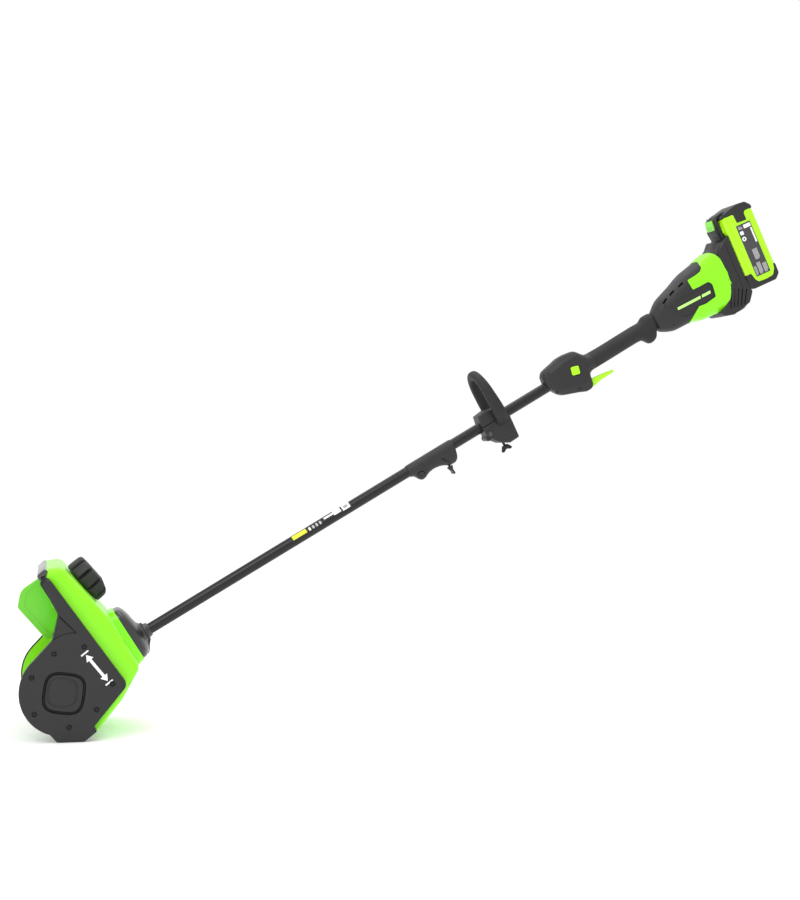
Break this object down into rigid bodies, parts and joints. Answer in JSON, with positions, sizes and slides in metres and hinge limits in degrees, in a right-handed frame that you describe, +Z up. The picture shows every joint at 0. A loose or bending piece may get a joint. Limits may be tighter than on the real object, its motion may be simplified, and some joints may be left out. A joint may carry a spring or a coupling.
{
  "type": "cordless snow shovel",
  "caption": "Battery-powered snow shovel: rotor head with a turning discharge vane, two-part boom with coupler, loop handle, trigger grip and rear motor housing.",
  "frame": {"origin": "on the ground under the rotor axis, in the middle of the head's width", "axes": "+Z up, +X from the snow side towards the battery end, -Y the user's left, with the drive cover"},
  "size_m": [1.706, 0.333, 1.1604],
  "materials": {
    "black_plastic": "fine-textured moulded plastic",
    "green_plastic": "satin moulded plastic",
    "pale_green_plastic": "satin moulded plastic",
    "lime_plastic": "satin moulded plastic",
    "black_tube": "satin powder coat",
    "steel": "bright zinc plating",
    "alloy": "die-cast",
    "rubber": "matt",
    "copper": "varnished copper",
    "bush_plastic": "natural nylon",
    "board": "circuit board",
    "cell_wrap": "cell sleeve",
    "iron": "laminated steel with magnets"
  },
  "bodies": {
    "head": {"hood": "green_plastic", "scoop_liner": "black_plastic", "left_side_plate": "black_plastic", "right_side_plate": "black_plastic", "drive_cover": "black_plastic", "side_screws": "steel", "scraper_blade": "steel", "rotor_bearings": "steel", "drive_belt": "rubber", "gearbox_housing": "alloy", "cross_shaft_bearings": "steel", "pinion_bearing": "steel", "boom_socket": "black_plastic", "socket_bolts": "steel", "lower_tube": "black_tube", "lower_shaft_bushes": "bush_plastic", "deflector_bush": "bush_plastic"},
    "rotor": {"rotor_shaft": "steel", "rotor_hub": "black_plastic", "rotor_paddles": "black_plastic", "wear_strips": "rubber", "driven_pulley": "alloy"},
    "cross_drive": {"cross_shaft": "steel", "bevel_gear": "steel", "drive_pulley": "alloy"},
    "lower_drive": {"lower_drive_shaft": "steel", "bevel_pinion": "steel"},
    "deflector": {"deflector_knob": "black_plastic", "deflector_spindle": "steel", "deflector_vane": "pale_green_plastic", "knob_screw": "steel"},
    "upper_boom": {"coupler": "black_plastic", "upper_tube": "black_tube", "upper_shaft_bushes": "bush_plastic", "handle_shell_left": "black_plastic", "handle_shell_right": "black_plastic", "rear_grip": "rubber", "trigger_switch": "black_plastic", "trigger_pin": "steel", "motor_shell_left": "black_plastic", "motor_shell_right": "black_plastic", "motor_trim": "green_plastic", "housing_screws": "steel", "motor_stator": "copper", "motor_bearings": "steel", "controller_board": "board", "battery_dock": "black_plastic", "dock_terminals": "copper"},
    "upper_drive": {"upper_drive_shaft": "steel", "motor_rotor": "iron", "cooling_fan": "black_plastic"},
    "coupler_button": {"release_button": "black_plastic"},
    "coupler_wing": {"coupler_wing_screw": "black_plastic"},
    "loop_handle": {"front_handle": "black_plastic"},
    "handle_wing": {"handle_wing_nut": "black_plastic"},
    "trigger_lever": {"trigger": "green_plastic"},
    "side_button": {"lock_off_button": "green_plastic"},
    "battery": {"battery_case": "lime_plastic", "battery_cells": "cell_wrap"},
    "latch": {"battery_latch": "green_plastic"}
  },
  "joints": [
    {"name": "rotor_spin", "type": "hinge", "parent": "head", "child": "rotor", "pos_m": [0, 0, 0.1], "axis": [0, -1, 0], "continuous": true},
    {"name": "cross_drive_spin", "type": "hinge", "parent": "head", "child": "cross_drive", "pos_m": [0.08435, 0, 0.14989], "axis": [0, -1, 0], "continuous": true},
    {"name": "lower_drive_spin", "type": "hinge", "parent": "head", "child": "lower_drive", "pos_m": [0.43037, 0, 0.35452], "axis": [-0.8607, 0, -0.509], "continuous": true},
    {"name": "deflector_turn", "type": "hinge", "parent": "head", "child": "deflector", "pos_m": [0.04, 0, 0.306], "axis": [0.7547, 0, 0.6561], "range_deg": [-30, 30]},
    {"name": "boom_split", "type": "slide", "parent": "head", "child": "upper_boom", "axis": [0.8607, 0, 0.509], "range_m": [0, 0.08]},
    {"name": "upper_drive_spin", "type": "hinge", "parent": "upper_boom", "child": "upper_drive", "pos_m": [1.11896, 0, 0.76175], "axis": [-0.8607, 0, -0.509], "continuous": true},
    {"name": "coupler_button_press", "type": "slide", "parent": "upper_boom", "child": "coupler_button", "axis": [0, 1, 0], "range_m": [0, 0.0025], "stiffness_N_per_m": 800, "springref_m": -0.001},
    {"name": "coupler_wing_turn", "type": "hinge", "parent": "upper_boom", "child": "coupler_wing", "pos_m": [0.84667, 0, 0.55425], "axis": [-0.509, 0, 0.8607], "range_deg": [-180, 180]},
    {"name": "front_handle_slide", "type": "slide", "parent": "upper_boom", "child": "loop_handle", "axis": [0.8607, 0, 0.509], "range_m": [-0.04, 0.06]},
    {"name": "handle_wing_turn", "type": "hinge", "parent": "loop_handle", "child": "handle_wing", "pos_m": [0.97439, 0, 0.59957], "axis": [-0.509, 0, 0.8607], "range_deg": [-180, 180]},
    {"name": "trigger_pull", "type": "hinge", "parent": "upper_boom", "child": "trigger_lever", "pos_m": [1.16069, 0, 0.74228], "axis": [0, -1, 0], "range_deg": [0, 10], "stiffness_Nm_per_rad": 1, "springref_deg": -5.73},
    {"name": "lock_off_press", "type": "slide", "parent": "upper_boom", "child": "side_button", "axis": [0, 1, 0], "range_m": [0, 0.0018], "stiffness_N_per_m": 800, "springref_m": -0.001},
    {"name": "battery_slide", "type": "slide", "parent": "upper_boom", "child": "battery", "axis": [-0.4131, 0, 0.9107], "range_m": [0, 0.19]},
    {"name": "battery_latch_press", "type": "slide", "parent": "upper_boom", "child": "latch", "axis": [0.9107, 0, 0.4131], "range_m": [0, 0.002], "stiffness_N_per_m": 800, "springref_m": -0.001}
  ],
  "couplings": [
    {"joint": "cross_drive_spin", "follows": "rotor_spin", "ratio": 3},
    {"joint": "lower_drive_spin", "follows": "rotor_spin", "ratio": 4},
    {"joint": "upper_drive_spin", "follows": "rotor_spin", "ratio": 4}
  ]
}
